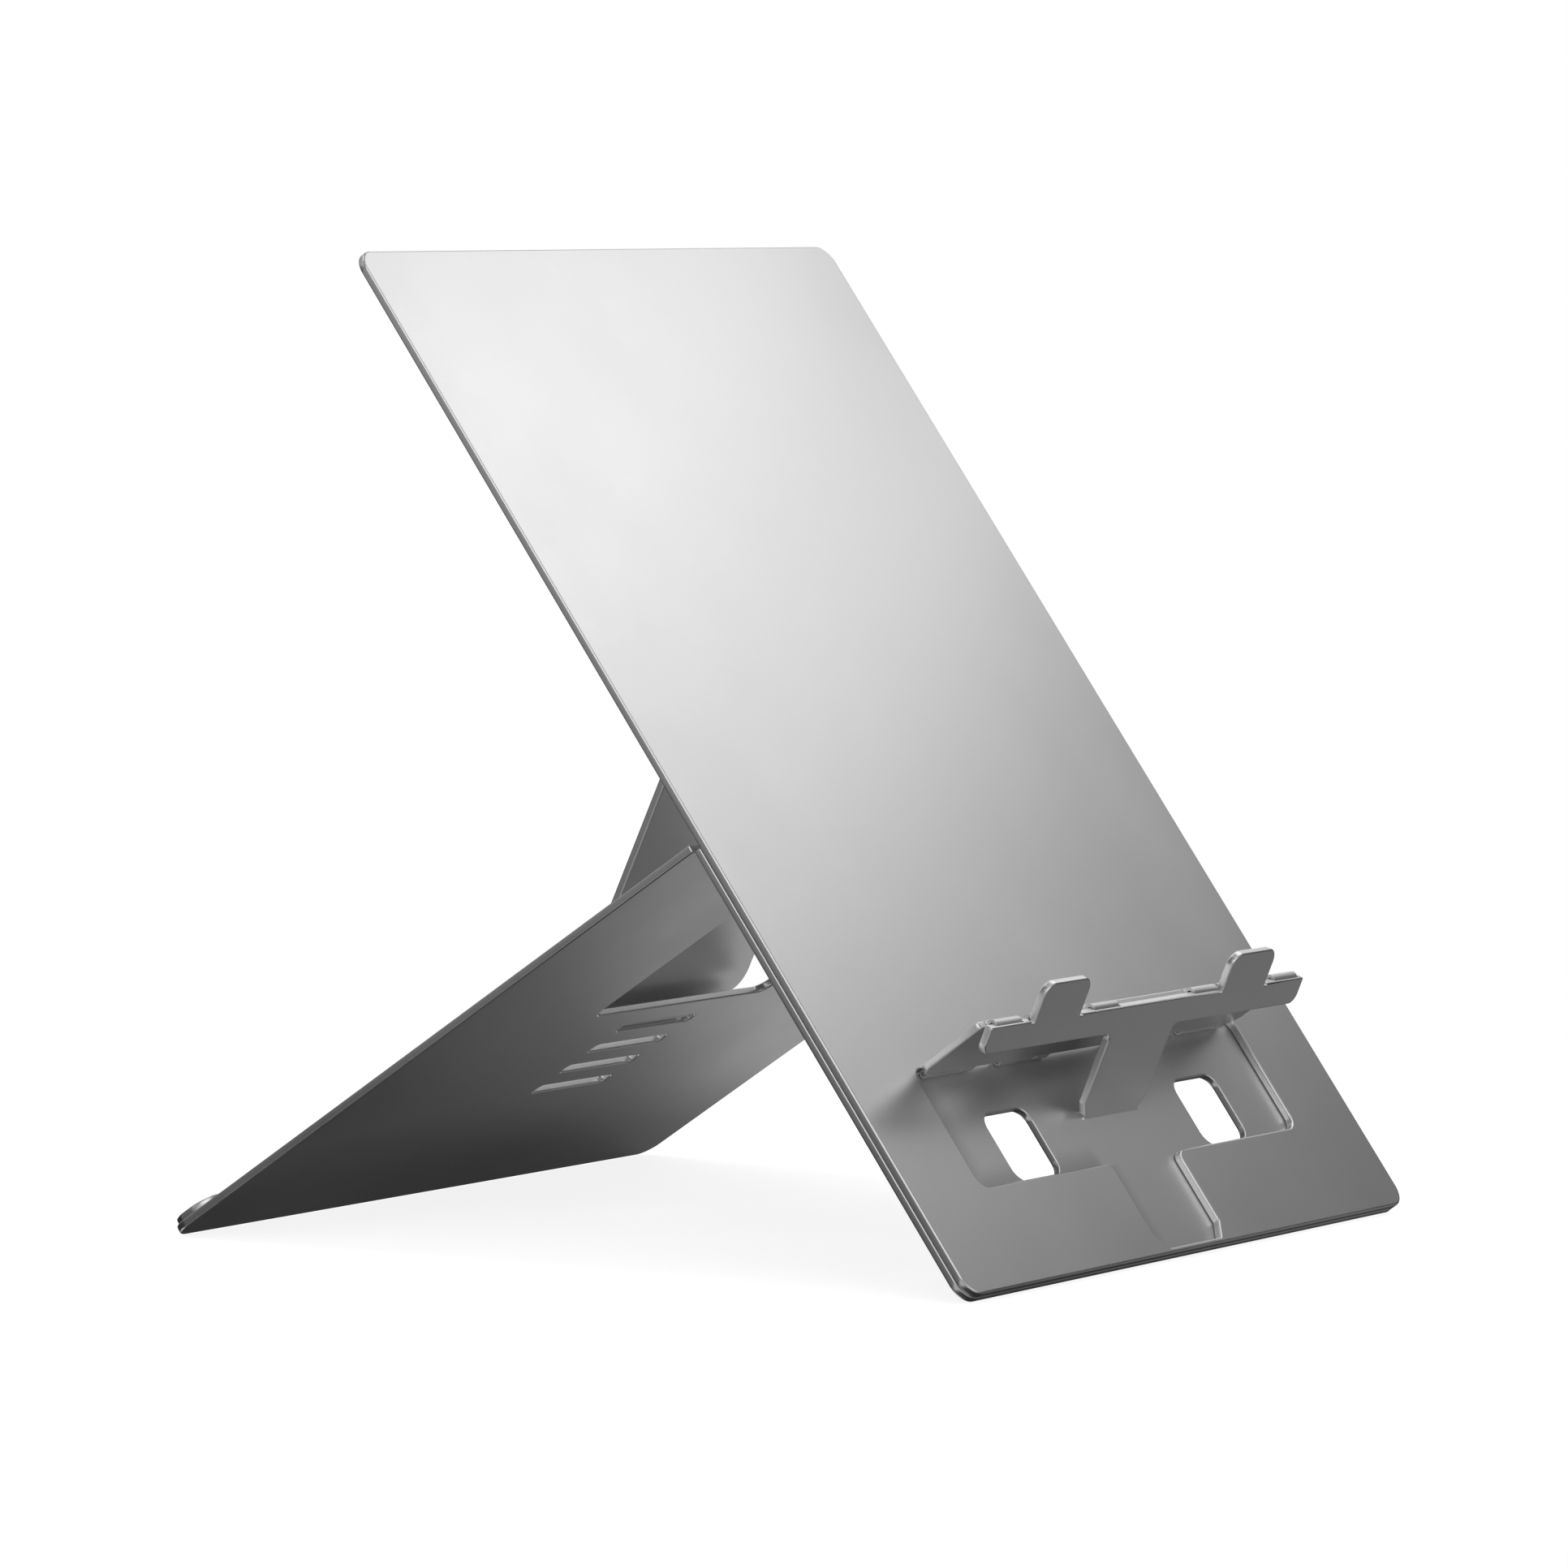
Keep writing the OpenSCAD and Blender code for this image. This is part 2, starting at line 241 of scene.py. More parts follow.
def piece(name, body, nodes, bm, place, weighted=True):
    mesh = bpy.data.meshes.new(name)
    bm.transform(Matrix.Scale(MM, 4) @ place)
    bm.to_mesh(mesh)
    bm.free()
    obj = bpy.data.objects.new(name, mesh)
    scene.collection.objects.link(obj)
    if weighted:
        wn = obj.modifiers.new("normals", "WEIGHTED_NORMAL")
        wn.mode = "FACE_AREA"
        wn.weight = 60
        wn.keep_sharp = True
    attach(obj, body)
    if nodes:
        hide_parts(*nodes)
    return obj


def revolve(bm, xa, xb, prof_a, prof_b, r, cy=0.0, cz=0.0, seg=32, bore=None):
    """A round bar on the x axis with eased ends; with a bore it is a tube."""
    pts = [(xa + dx, r - dr) for dx, dr in prof_a] + [(xb - dx, r - dr) for dx, dr in reversed(prof_b)]
    if bore:
        pts = [(xa + 0.02, bore)] + pts + [(xb - 0.02, bore)]
    rings = []
    for x, rad in pts:
        rings.append([bm.verts.new((x, cy + rad * math.cos(2 * math.pi * i / seg), cz + rad * math.sin(2 * math.pi * i / seg))) for i in range(seg)])
    pairs = list(zip(rings, rings[1:]))
    if bore:
        pairs.append((rings[-1], rings[0]))
    for a, b in pairs:
        for i in range(seg):
            f = bm.faces.new((a[i], a[(i + 1) % seg], b[(i + 1) % seg], b[i]))
            f.smooth = True
    if not bore:
        for ring in (rings[0], rings[-1]):
            f = bm.faces.new(ring)
            f.smooth = True


def ease(c):
    return [(0.0, c), (c * 0.3, c * 0.3), (c, 0.0)]


# ------------------------------------------------------------------ materials
def nd(nt, kind, **kw):
    n = nt.nodes.new(kind)
    for k, v in kw.items():
        if k == "at":
            continue
        setattr(n, k, v)
    return n


def alu(name, colour, rough, grain=0.05, cloud=0.035, edge=False, spec_bump=0.04, tone=None):
    """Smooth anodised aluminium: a fine bead-blasted grain, slow changes in tone and roughness, faint handling marks."""
    m = bpy.data.materials.new(name)
    m.use_nodes = True
    nt = m.node_tree
    nt.nodes.clear()
    out = nd(nt, "ShaderNodeOutputMaterial")
    b = nd(nt, "ShaderNodeBsdfPrincipled")
    nt.links.new(b.outputs["BSDF"], out.inputs["Surface"])
    b.inputs["Metallic"].default_value = 1.0
    b.inputs["IOR"].default_value = 1.45
    b.inputs["Coat Weight"].default_value = 0.06
    b.inputs["Coat Roughness"].default_value = 0.3
    co = nd(nt, "ShaderNodeTexCoord")
    # slow clouds, in tone and in roughness
    n1 = nd(nt, "ShaderNodeTexNoise")
    n1.inputs["Scale"].default_value = 26.0
    n1.inputs["Detail"].default_value = 3.0
    n1.inputs["Roughness"].default_value = 0.55
    nt.links.new(co.outputs["Object"], n1.inputs["Vector"])
    # fine blasted grain
    n2 = nd(nt, "ShaderNodeTexNoise")
    n2.inputs["Scale"].default_value = 5200.0
    n2.inputs["Detail"].default_value = 2.0
    n2.inputs["Roughness"].default_value = 0.6
    nt.links.new(co.outputs["Object"], n2.inputs["Vector"])
    # handling marks: sparse, soft and stretched
    mp = nd(nt, "ShaderNodeMapping")
    mp.inputs["Scale"].default_value = (1.0, 2.2, 1.4)
    mp.inputs["Rotation"].default_value = (0.3, 0.2, 0.9)
    nt.links.new(co.outputs["Object"], mp.inputs["Vector"])
    n3 = nd(nt, "ShaderNodeTexNoise")
    n3.inputs["Scale"].default_value = 95.0
    n3.inputs["Detail"].default_value = 5.0
    n3.inputs["Roughness"].default_value = 0.7
    n3.inputs["Distortion"].default_value = 0.8
    nt.links.new(mp.outputs["Vector"], n3.inputs["Vector"])
    r3 = nd(nt, "ShaderNodeMapRange")
    r3.inputs["From Min"].default_value = 0.56
    r3.inputs["From Max"].default_value = 0.78
    r3.inputs["To Min"].default_value = 0.0
    r3.inputs["To Max"].default_value = 1.0
    nt.links.new(n3.outputs["Fac"], r3.inputs["Value"])
    # colour
    cr = nd(nt, "ShaderNodeValToRGB")
    cr.color_ramp.elements[0].position = 0.3
    cr.color_ramp.elements[1].position = 0.7
    k = 0.965
    cr.color_ramp.elements[0].color = (colour[0] * k, colour[1] * k, colour[2] * k, 1)
    cr.color_ramp.elements[1].color = (*colour, 1)
    nt.links.new(n1.outputs["Fac"], cr.inputs["Fac"])
    gm = nd(nt, "ShaderNodeMix", data_type="RGBA", blend_type="MULTIPLY")
    gm.inputs["Factor"].default_value = 0.10
    g2 = nd(nt, "ShaderNodeMapRange")
    g2.inputs["From Min"].default_value = 0.3
    g2.inputs["From Max"].default_value = 0.7
    g2.inputs["To Min"].default_value = 0.72
    g2.inputs["To Max"].default_value = 1.0
    nt.links.new(n2.outputs["Fac"], g2.inputs["Value"])
    nt.links.new(cr.outputs["Color"], gm.inputs[6])
    nt.links.new(g2.outputs["Result"], gm.inputs[7])
    last = gm.outputs[2]
    # the tone functions paint shade into the base colour
    if tone is not None:
        last = tone(nt, co, last)
    nt.links.new(last, b.inputs["Base Color"])
    # roughness
    r1 = nd(nt, "ShaderNodeMapRange")
    r1.inputs["From Min"].default_value = 0.3
    r1.inputs["From Max"].default_value = 0.7
    r1.inputs["To Min"].default_value = rough - cloud
    r1.inputs["To Max"].default_value = rough + cloud
    nt.links.new(n1.outputs["Fac"], r1.inputs["Value"])
    ad = nd(nt, "ShaderNodeMath", operation="MULTIPLY_ADD")
    ad.inputs[1].default_value = -0.03
    nt.links.new(r3.outputs["Result"], ad.inputs[0])
    nt.links.new(r1.outputs["Result"], ad.inputs[2])
    nt.links.new(ad.outputs["Value"], b.inputs["Roughness"])
    # bump
    bp = nd(nt, "ShaderNodeBump")
    bp.inputs["Strength"].default_value = spec_bump
    bp.inputs["Distance"].default_value = 0.00004
    nt.links.new(n2.outputs["Fac"], bp.inputs["Height"])
    nt.links.new(bp.outputs["Normal"], b.inputs["Normal"])
    return m


def steel(name):
    m = alu(name, (0.50, 0.50, 0.51), 0.28, cloud=0.05, spec_bump=0.05)
    return m


def film(name):
    m = bpy.data.materials.new(name)
    m.use_nodes = True
    nt = m.node_tree
    b = nt.nodes["Principled BSDF"]
    b.inputs["Roughness"].default_value = 0.6
    co = nd(nt, "ShaderNodeTexCoord")
    n = nd(nt, "ShaderNodeTexNoise")
    n.inputs["Scale"].default_value = 900.0
    n.inputs["Detail"].default_value = 4.0
    nt.links.new(co.outputs["Object"], n.inputs["Vector"])
    r = nd(nt, "ShaderNodeValToRGB")
    r.color_ramp.elements[0].color = (0.20, 0.195, 0.18, 1)
    r.color_ramp.elements[1].color = (0.34, 0.33, 0.30, 1)
    nt.links.new(n.outputs["Fac"], r.inputs["Fac"])
    nt.links.new(r.outputs["Color"], b.inputs["Base Color"])
    bp = nd(nt, "ShaderNodeBump")
    bp.inputs["Strength"].default_value = 0.3
    bp.inputs["Distance"].default_value = 0.00002
    nt.links.new(n.outputs["Fac"], bp.inputs["Height"])
    nt.links.new(bp.outputs["Normal"], b.inputs["Normal"])
    return m


def fade(nt, co, axis, origin, start, stop, flip=False):
    """0 to 1 along a direction of the stand at rest, between two distances (mm) from origin."""
    v = nd(nt, "ShaderNodeVectorMath", operation="DOT_PRODUCT")
    v.inputs[1].default_value = tuple(axis)
    nt.links.new(co.outputs["Object"], v.inputs[0])
    k = Vector(axis).dot(Vector(origin)) * MM
    m = nd(nt, "ShaderNodeMapRange")
    m.interpolation_type = "SMOOTHSTEP"
    m.inputs["From Min"].default_value = k + min(start, stop) * MM
    m.inputs["From Max"].default_value = k + max(start, stop) * MM
    m.inputs["To Min"].default_value = 0.0 if stop > start else 1.0
    m.inputs["To Max"].default_value = 1.0 if stop > start else 0.0
    nt.links.new(v.outputs["Value"], m.inputs["Value"])
    return m.outputs["Result"]


def calc(nt, op, a, b):
    m = nd(nt, "ShaderNodeMath", operation=op)
    for i, q in enumerate((a, b)):
        if isinstance(q, (int, float)):
            m.inputs[i].default_value = q
        else:
            nt.links.new(q, m.inputs[i])
    return m.outputs["Value"]


def darken(nt, colour, amount, least):
    """Colour times 1 .. least as amount runs 0 .. 1."""
    r = nd(nt, "ShaderNodeMapRange")
    r.inputs["To Min"].default_value = 1.0
    r.inputs["To Max"].default_value = least
    nt.links.new(amount, r.inputs["Value"])
    m = nd(nt, "ShaderNodeMix", data_type="RGBA", blend_type="MULTIPLY")
    m.inputs["Factor"].default_value = 1.0
    nt.links.new(colour, m.inputs[6])
    nt.links.new(r.outputs["Result"], m.inputs[7])
    return m.outputs[2]


def leg_painted_shade(nt, co, last):
    """Painted shade: the leg's colour runs darker towards its foot and towards its right side."""
    hinge = AT_LEG @ Vector((0, 0, 0))
    along = (AT_LEG.to_3x3() @ Vector((0, 1, 0)))
    last = darken(nt, last, fade(nt, co, along, hinge, 100, 132), 0.72)
    return darken(nt, last, fade(nt, co, (1, 0, 0), hinge, -75, 40), 0.70)


def recess_painted_shade(nt, co, last):
    """Painted shade: the floor of the recess is darker along the walls on its left and lower side."""
    up = (STAND.to_3x3() @ Vector((0, 1, 0)))
    foot = STAND @ Vector((0, 0, 0))
    high = fade(nt, co, up, foot, 19.4, 20.2)
    low = calc(nt, "SUBTRACT", 1.0, high)
    left = fade(nt, co, (1, 0, 0), foot, -50, -57.5)
    ledge = calc(nt, "MULTIPLY", fade(nt, co, up, foot, 25.5, 19.8), fade(nt, co, (1, 0, 0), foot, -11.5, -14.5))
    stem = fade(nt, co, (1, 0, 0), foot, -6.0, -12.0)
    a = calc(nt, "MULTIPLY", high, calc(nt, "MAXIMUM", left, ledge))
    b = calc(nt, "MULTIPLY", low, stem)
    return darken(nt, last, calc(nt, "MAXIMUM", a, b), 0.72)


ALU = alu("alu_face", (0.80, 0.80, 0.805), 0.36)
# The recess floor's colour carries painted shade along its left and lower walls.
ALU_BACK = alu("alu_recess", (0.80, 0.80, 0.805), 0.36, tone=recess_painted_shade)
# A lighter copy of the satin aluminium, as painted light on the stop's faces.
ALU_STOP = alu("alu_stop", (0.96, 0.96, 0.965), 0.36)
# A lighter copy of the satin aluminium, as painted light on the leg, with painted shade towards its foot and right
# side.
ALU_LEG = alu("alu_leg", (0.96, 0.96, 0.965), 0.36, tone=leg_painted_shade)
ALU_STRUT = alu("alu_strut", (0.84, 0.84, 0.845), 0.36)
EDGE = alu("alu_edge", (0.86, 0.86, 0.865), 0.31, cloud=0.03, spec_bump=0.02)
BARREL = alu("alu_barrel", (0.78, 0.78, 0.785), 0.42, cloud=0.04, spec_bump=0.03)
STEEL = steel("pin_steel")
FILM = film("bond_film")


def dress(obj, slot, *mats):
    which = [p.material_index for p in obj.data.polygons]
    obj.data.materials.clear()
    for m in mats:
        obj.data.materials.append(m)
    obj.data.polygons.foreach_set("material_index", [min(i, len(mats) - 1) for i in which])


# ------------------------------------------------------------------ front and back panel
T_LOOP = path([(-57.5, 44.95, 3), (57.5, 44.95, 3), (57.5, 19.8, 3), (12, 19.8, 1.9), (12, 4.6, 0.8), (9.4, 1.1, 0.8),
               (-9.4, 1.1, 0.8), (-12, 4.6, 0.8), (-12, 19.8, 1.9), (-57.5, 19.8, 3)])
o = plate("front_sheet", "panel", ["front_panel"], path(rect(-80, 80, 0, PL, 4)), [T_LOOP], -T, 0, STAND, ra=0.25, rb=0.4)
dress(o, "alu", ALU, EDGE)

back = path([(-80, 0, 4), (80, 0, 4), (80, BACK_L, 0.3), (29.3, BACK_L, 0.6), (29.3, 53, 3), (-29.3, 53, 3),
             (-29.3, BACK_L, 0.6), (-80, BACK_L, 0.3)])
wins = [path(rect(s * 34.2 - 7.8, s * 34.2 + 7.8, 20.2, 34.5, 3)) for s in (-1, 1)]
tip_slot = path(rect(-9.95, 9.95, 29.96, 32.2, 0.15))
o = plate("back_sheet", "panel", ["back_panel"], back, wins + [tip_slot], NB, N2, STAND, ra=0.4, rb=0.25, hole_r=[1.0, 1.0, 0.12])
dress(o, "alu", ALU_BACK, EDGE)

o = plate("strut_anchor_plate", "panel", ["strut_anchor"],
          path([(-28.8, STRUT_P + 1.05, 0.3), (28.8, STRUT_P + 1.05, 0.3), (28.8, 161.5, 3), (-28.8, 161.5, 3)]), [], NB, N2, STAND, ra=0.35, rb=0.15)
dress(o, "alu", ALU_STRUT, EDGE)

# ------------------------------------------------------------------ leg
slots = [path(rect(SLOT_X - SLOT_W / 2, SLOT_X + SLOT_W / 2, SLOT_FIRST + i * SLOT_PITCH, SLOT_FIRST + i * SLOT_PITCH + SLOT_H, 1.0)) for i in range(4)]
leg = path([(-80, 0.9, 0.3), (-29.3, 0.9, 0.6), (-29.3, 67.45, 2.5), (29.3, 67.45, 2.5), (29.3, 0.9, 0.6), (80, 0.9, 0.3),
            (80, LEG_L, 4), (-80, LEG_L, 4)])
o = plate("leg_sheet", "leg", ["leg_panel"], leg, slots, -T / 2, T / 2, AT_LEG, ra=0.35, rb=0.3)
dress(o, "alu", ALU_LEG, EDGE)

FH = 78.5
foot = path([(-FH, LEG_L - 10.1, 4.6), (FH, LEG_L - 10.1, 4.6), (FH, LEG_L - 2.7, 0.5), (77.4, LEG_L - 0.7, 1.6), (76, LEG_L, 1.0),
             (-76, LEG_L, 1.0), (-77.4, LEG_L - 0.7, 1.6), (-FH, LEG_L - 2.7, 0.5)])
o = plate("foot_doubler", "leg", ["foot_strip"], foot, [], T / 2 + G, T / 2 + G + T, AT_LEG, ra=0.15, rb=0.4)
dress(o, "alu", ALU_STRUT, EDGE)

# ------------------------------------------------------------------ strut
SH = 28.8
strut = path([(-SH, 1, 0.3), (SH, 1, 0.3), (SH, 81.4, 5), (14.5, 84.2, 1.2), (12.3, 84.6, 1.2), (12.3, STRUT_L, 0.8), (-10.1, STRUT_L, 0.8),
              (-10.1, 84.6, 1.2), (-13, 84.2, 1.2), (-SH, 81.4, 5)])
o = plate("strut_sheet", "strut", ["strut_panel"], strut, [], -T / 2, T / 2, AT_STRUT, ra=0.3, rb=0.3)
dress(o, "alu", ALU_STRUT, EDGE)

# ------------------------------------------------------------------ ledge
FRONT_OWN = [(-54.5, -45.6), (-20.2, -11.2), (16.4, 25.2), (46.6, 55.4)]
YE = REACH - 0.85
E = REACH
pts = [(-57, 0.95, 3), (57, 0.95, 3), (57, E, 0.8)]
for a, b, kind in [(55.5, 46.5, 0), (42.5, 25.5, 1), (25.3, 16.3, 0), (-11.1, -20.3, 0), (-25.5, -42.5, 1), (-45.5, -54.6, 0)]:
    if kind:
        pts += [(a, E, 0.5), (a, 9.15, 1.5), (b, 9.15, 1.5)]
        if b == 25.5:
            pts += [(b, YE, 0.1)]
        else:
            pts += [(b, E, 0.5)]
    else:
        if a == 25.3:
            pts += [(b, YE, 0.1), (b, E, 0.2)]
        else:
            pts += [(a, E, 0.2), (a, YE, 0.1), (b, YE, 0.1), (b, E, 0.2)]
pts += [(-57, E, 0.8)]
ledge = path(pts)
o = plate("ledge_sheet", "ledge", ["ledge_panel"], ledge, [], -T / 2, T / 2, AT_LEDGE, ra=0.3, rb=0.3)
dress(o, "alu", ALU, EDGE)

# ------------------------------------------------------------------ stop
y1 = BAR_H - 0.5
CUT = SR + 0.25
pts = [(-57, y1, 2.2), (-11.4, y1, 1.7), (-11.4, 19.4, 0.8), (-9.65, 22.0, 0.8), (-9.65, TIP_Y, 0.4), (9.65, TIP_Y, 0.4), (9.65, 22.0, 0.8),
       (11.4, 19.4, 0.8), (11.4, y1, 1.7), (57, y1, 2.2), (57, -0.5, 0.5)]
for a, b in ((42, 26), (-26, -42)):
    pts += [(a + 1, -0.5, 0.1), (a + 0.9, -0.05, 0.25), (a + 0.1, -0.05, 0.25), (a, -0.7, 0.1), (a, -FINGER_H - 0.5, 2.8),
            (b, -FINGER_H - 0.5, 2.8), (b, -0.7, 0.1), (b - 0.1, -0.05, 0.25), (b - 0.9, -0.05, 0.25), (b - 1, -0.5, 0.1)]
pts += [(-57, -0.5, 0.5)]
pockets = [(a - 0.3, b + 0.3, -3, CUT, -SR - 0.12, 1.5) for a, b in FRONT_OWN]
grooves = [(-55.1, -10.6, 0.6), (15.8, 56.0, 0.6)]
o = plate("stop_sheet", "stop", ["stop_panel"], path(pts), [], -0.1 - T, -0.1, AT_STOP, ra=0.3, rb=0.3, cuts=(pockets, grooves), crisp=22.4)
dress(o, "alu", ALU_STOP, EDGE)

# ------------------------------------------------------------------ barrels: profiles drawn across the hinge, then run along x
ALONG_X = Matrix(((0, 0, 1, 0), (1, 0, 0, 0), (0, 1, 0, 0), (0, 0, 0, 1)))   # plate (x, y, z) -> local (z, x, y)


def circle(cy, cz, r, n=28):
    return [(cy + r * math.cos(2 * math.pi * i / n), cz + r * math.sin(2 * math.pi * i / n)) for i in range(n)]


def tongue(far):
    """A barrel flush with the sheet and the block that joins it to the sheet's edge."""
    h = T / 2
    arc = [(h * math.cos(a), h * math.sin(a)) for a in [math.radians(90 + 180 * i / 18) for i in range(19)]]
    return arc + [(far, -h), (far, h)]


def knuckles(name, body, node, spans, far, place, mirror=False):
    loop = [(-y, z) for y, z in tongue(far)] if mirror else tongue(far)
    many = [(loop, [circle(0, 0, PIN + GAP)], a, b) for a, b in spans]
    ob = plate(name, body, [node], None, None, 0, 0, place, ra=0.1, rb=0.1, seg=3, swap=ALONG_X, many=many, hole_r=0.5)
    dress(ob, "alu", BARREL, BARREL)
    return ob


ROOT_PANEL = [(-50.5, -42.8), (-23.5, -16.1), (16.1, 23.5), (42.8, 50.5)]
ROOT_LEDGE = [(-53.8, -50.65), (-42.65, -37.5), (-28.3, -23.65), (-15.95, -11.3), (11.3, 15.95), (23.65, 28.3), (37.5, 42.65), (50.65, 53.8)]
knuckles("barrels_ledge_panel", "panel", "panel_ledge_knuckles", ROOT_PANEL, 44.95 - ROOT_P, STAND @ tr(0, ROOT_P, ROOT_N))
knuckles("barrels_ledge_root", "ledge", "ledge_root_knuckles", ROOT_LEDGE, 0.95, AT_LEDGE)
knuckles("barrels_leg_panel", "panel", "panel_leg_knuckles", [(-56, -44.2), (44.2, 56)], 0.9, STAND @ tr(0, LEG_P, NM), mirror=True)
knuckles("barrels_leg", "leg", "leg_knuckles", [(-66, -56.2), (-44, -34), (34, 44), (56.2, 66)], 0.9, AT_LEG)
knuckles("barrels_strut_anchor", "panel", "anchor_knuckles", [(-27, -16), (-4, 4), (16, 27)], 1.05, STAND @ tr(0, STRUT_P, NM))
knuckles("barrels_strut", "strut", "strut_knuckles", [(-15.8, -4.2), (4.2, 15.8)], 1.0, AT_STRUT)

# front barrels of the ledge
cy, cz = AX_Y, AX_Z
a0 = math.atan2(-math.sqrt(SR * SR - 0.8 * 0.8), -0.8)
a1 = math.atan2(-0.1, -math.sqrt(SR * SR - 0.01)) + 2 * math.pi
if a0 < 0:
    a0 += 2 * math.pi
# from the upper crossing, over the top, round the front and back to the ledge's underside
arc = [(cy + SR * math.cos(a), cz + SR * math.sin(a)) for a in [a0 + (a1 + 0.0 - a0 + (0 if a1 > a0 else 2 * math.pi)) * i / 30 for i in range(31)]]
front_prof = [(YE, T / 2), (YE, -T / 2), (REACH, -T / 2)] + arc
many = [(front_prof, [circle(cy, cz, 0.5)], a, b) for a, b in FRONT_OWN]
o = plate("barrels_ledge_front", "ledge", ["ledge_front_knuckles"], None, None, 0, 0, AT_LEDGE, ra=0.12, rb=0.12, seg=3, swap=ALONG_X, many=many, hole_r=0.4)
dress(o, "alu", BARREL, BARREL)

# the stop's own barrels, seated on the back of its sheet
a0, a1 = math.asin(-0.1 / SR), math.pi - math.asin(-0.1 / SR)
half = [(SR * math.cos(a), SR * math.sin(a)) for a in [a0 + (a1 - a0) * i / 24 for i in range(25)]]
many = [(half, [circle(0, 0, 0.5, 24)] if False else [], a, b) for a, b in [(-41.7, -26.3), (26.3, 41.7)]]
o = plate("barrels_stop", "stop", ["stop_knuckles"], None, None, 0, 0, AT_STOP, ra=0.12, rb=0.12, seg=3, swap=ALONG_X, many=many)
dress(o, "alu", BARREL, BARREL)


# ------------------------------------------------------------------ pins, with domed ends
def pins(name, body, node, spans, r, place):
    bm = bmesh.new()
    dome = [(0.0, r * 0.92), (0.02, r * 0.6), (0.06, r * 0.3), (0.12, r * 0.1), (0.2, 0.0)]
    for a, b in spans:
        revolve(bm, a + 0.1, b - 0.1, dome, dome, r, seg=24)
    bmesh.ops.recalc_face_normals(bm, faces=bm.faces[:])
    ob = piece(name, body, [node], bm, place)
    dress(ob, "steel", STEEL)


pins("pins_ledge", "panel", "ledge_pins", [(-53.8, -37.5), (-28.3, -11.3), (11.3, 28.3), (37.5, 53.8)], PIN, STAND @ tr(0, ROOT_P, ROOT_N))
pins("pins_leg", "panel", "leg_pins", [(-66, -34), (34, 66)], PIN, STAND @ tr(0, LEG_P, NM))
pins("pin_strut", "panel", "strut_pin", [(-27, 27)], PIN, STAND @ tr(0, STRUT_P, NM))
pins("pins_stop", "ledge", "stop_pins", [(-54.5, -11.2), (16.4, 55.4)], 0.45, AT_LEDGE @ tr(0, AX_Y, AX_Z))

for n in ("back_panel_bond", "strut_anchor_bond", "foot_bond"):
    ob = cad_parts[n]
    ob.data.materials.clear()
    ob.data.materials.append(FILM)

# ------------------------------------------------------------------ floor, light and camera
def floor_mat():
    """Pale floor: takes a faint shadow near the stand and runs out to plain white."""
    m = bpy.data.materials.new("floor")
    m.use_nodes = True
    nt = m.node_tree
    nt.nodes.remove(nt.nodes["Principled BSDF"])
    out = nt.nodes["Material Output"]
    co = nd(nt, "ShaderNodeTexCoord")
    ln = nd(nt, "ShaderNodeVectorMath", operation="LENGTH")
    nt.links.new(co.outputs["Object"], ln.inputs[0])
    mr = nd(nt, "ShaderNodeMapRange")
    mr.interpolation_type = "SMOOTHSTEP"
    mr.inputs["From Min"].default_value = 0.14
    mr.inputs["From Max"].default_value = 0.42
    mr.inputs["To Min"].default_value = 0.0
    mr.inputs["To Max"].default_value = 1.0
    nt.links.new(ln.outputs["Value"], mr.inputs["Value"])
    df = nd(nt, "ShaderNodeBsdfDiffuse")
    df.inputs["Color"].default_value = (0.6, 0.6, 0.6, 1)
    e1 = nd(nt, "ShaderNodeEmission")
    e1.inputs["Color"].default_value = (1, 1, 1, 1)
    e1.inputs["Strength"].default_value = 0.82
    ad = nd(nt, "ShaderNodeAddShader")
    nt.links.new(df.outputs[0], ad.inputs[0])
    nt.links.new(e1.outputs[0], ad.inputs[1])
    e2 = nd(nt, "ShaderNodeEmission")
    e2.inputs["Color"].default_value = (1, 1, 1, 1)
    e2.inputs["Strength"].default_value = 1.0
    mx = nd(nt, "ShaderNodeMixShader")
    nt.links.new(mr.outputs["Result"], mx.inputs[0])
    nt.links.new(ad.outputs[0], mx.inputs[1])
    nt.links.new(e2.outputs[0], mx.inputs[2])
    nt.links.new(mx.outputs[0], out.inputs["Surface"])
    m.cycles.emission_sampling = "NONE"
    return m


bm = bmesh.new()
bmesh.ops.create_grid(bm, x_segments=2, y_segments=2, size=6.0)
me = bpy.data.meshes.new("floor")
bm.to_mesh(me)
bm.free()
floor = bpy.data.objects.new("floor", me)
floor.location = (0, 0, -0.00005)
scene.collection.objects.link(floor)
floor.data.materials.append(floor_mat())
floor.visible_glossy = False
floor.visible_diffuse = False
floor.visible_shadow = False

world = bpy.data.worlds.new("studio")
scene.world = world
world.use_nodes = True
wt = world.node_tree
bg = wt.nodes["Background"]
bg.inputs["Color"].default_value = (1, 1, 1, 1)
bg.inputs["Strength"].default_value = 0.02
lp = nd(wt, "ShaderNodeLightPath")
bw = nd(wt, "ShaderNodeBackground")
bw.inputs["Color"].default_value = (1, 1, 1, 1)
bw.inputs["Strength"].default_value = 1.0
mw = nd(wt, "ShaderNodeMixShader")
wt.links.new(lp.outputs["Is Camera Ray"], mw.inputs[0])
wt.links.new(bg.outputs[0], mw.inputs[1])
wt.links.new(bw.outputs[0], mw.inputs[2])
wt.links.new(mw.outputs[0], wt.nodes["World Output"].inputs["Surface"])


def area_light(name, loc, aim, size, power, size_y=None, colour=(1, 1, 1)):
    ld = bpy.data.lights.new(name, "AREA")
    ld.shape = "RECTANGLE"
    ld.size = size
    ld.size_y = size_y or size
    ld.energy = power
    ld.color = colour
    ob = bpy.data.objects.new(name, ld)
    ob.location = loc
    d = (Vector(aim) - Vector(loc)).normalized()
    ob.rotation_euler = d.to_track_quat("-Z", "Y").to_euler()
    scene.collection.objects.link(ob)
    ob.visible_camera = False
    return ob


